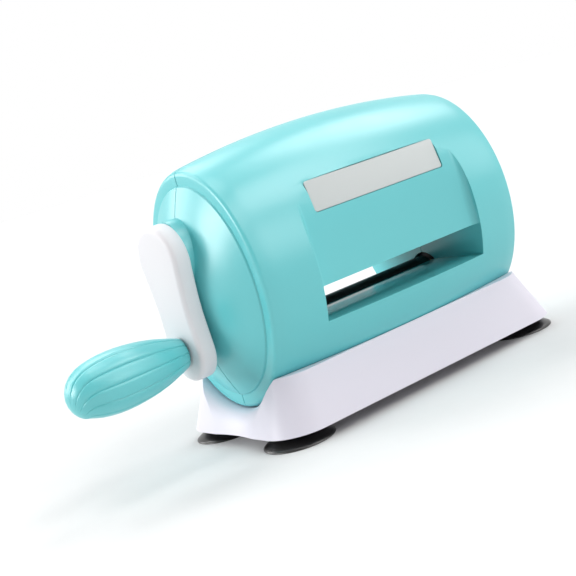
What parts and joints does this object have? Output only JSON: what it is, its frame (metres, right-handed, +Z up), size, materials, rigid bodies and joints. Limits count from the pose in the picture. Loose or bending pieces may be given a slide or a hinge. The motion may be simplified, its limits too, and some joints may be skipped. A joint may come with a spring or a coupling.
{
  "type": "die cutting machine",
  "caption": "Hand-cranked mini die cutting machine: bulged teal barrel on a white cradle base with suction cups, two geared rollers behind a feed mouth, and a crank with a spinning grip.",
  "frame": {"origin": "middle of the whole object's footprint (crank and grip included), on the table that the suction cups stand on. The barrel's middle is at x = +0.0333", "axes": "+X along the barrel away from the crank, -Y towards the feed side, +Z up"},
  "size_m": [0.2414, 0.094, 0.1314],
  "materials": {
    "teal_plastic": "smooth satin-gloss moulded plastic",
    "white_plastic": "smooth satin moulded plastic, faintly cool",
    "white_arm_plastic": "smooth satin moulded plastic",
    "label_grey": "matt pale grey, plain",
    "black_rubber": "glossy black rubber",
    "black_roller": "black coated steel",
    "bronze": "sintered bronze",
    "gear_steel": "cut steel, lightly oiled",
    "zinc_steel": "zinc plated",
    "black_steel": "steel with a black oxide finish",
    "steel": "plain bright steel"
  },
  "bodies": {
    "housing": {"front_shell": "teal_plastic", "rear_shell": "teal_plastic", "label_plate": "label_grey", "base_cradle": "white_plastic", "suction_cup_front_left": "black_rubber", "suction_cup_front_right": "black_rubber", "suction_cup_rear_left": "black_rubber", "suction_cup_rear_right": "black_rubber", "side_plate_left": "black_steel", "side_plate_right": "black_steel", "lower_bush_left": "bronze", "lower_bush_right": "bronze", "upper_bush_left": "bronze", "upper_bush_right": "bronze", "crank_bush_inner": "bronze", "crank_bush_outer": "bronze", "tie_rod_1": "steel", "tie_rod_2": "steel", "tie_rod_3": "steel", "tie_rod_4": "steel", "shell_screw_1": "zinc_steel", "shell_screw_2": "zinc_steel", "shell_screw_3": "zinc_steel", "shell_screw_4": "zinc_steel", "frame_screw_1": "zinc_steel", "frame_screw_2": "zinc_steel", "frame_screw_3": "zinc_steel", "frame_screw_4": "zinc_steel"},
    "crank": {"crank_shaft": "steel", "crank_clip": "zinc_steel", "crank_pinion": "gear_steel", "crank_arm": "white_arm_plastic", "handle_bolt": "steel"},
    "grip": {"handle_grip": "teal_plastic"},
    "upper_roller": {"upper_roller_shaft": "steel", "upper_roller_sleeve": "black_roller", "upper_clip_left": "zinc_steel", "upper_clip_right": "zinc_steel", "drive_gear": "gear_steel", "sync_gear_upper": "gear_steel"},
    "lower_roller": {"lower_roller_shaft": "steel", "lower_roller_sleeve": "black_roller", "lower_clip_left": "zinc_steel", "lower_clip_right": "zinc_steel", "sync_gear_lower": "gear_steel"}
  },
  "joints": [
    {"name": "crank_turn", "type": "hinge", "parent": "housing", "child": "crank", "pos_m": [-0.0587, 0, 0.0898], "axis": [1, 0, 0], "continuous": true},
    {"name": "grip_spin", "type": "hinge", "parent": "crank", "child": "grip", "pos_m": [-0.0867, 0, 0.0494], "axis": [1, 0, 0], "continuous": true},
    {"name": "upper_roller_turn", "type": "hinge", "parent": "housing", "child": "upper_roller", "pos_m": [0.0333, 0, 0.0653], "axis": [1, 0, 0], "continuous": true},
    {"name": "lower_roller_turn", "type": "hinge", "parent": "housing", "child": "lower_roller", "pos_m": [0.0333, 0, 0.0393], "axis": [1, 0, 0], "continuous": true}
  ],
  "couplings": [
    {"joint": "upper_roller_turn", "follows": "crank_turn", "ratio": -0.32432},
    {"joint": "lower_roller_turn", "follows": "crank_turn", "ratio": 0.32432}
  ]
}
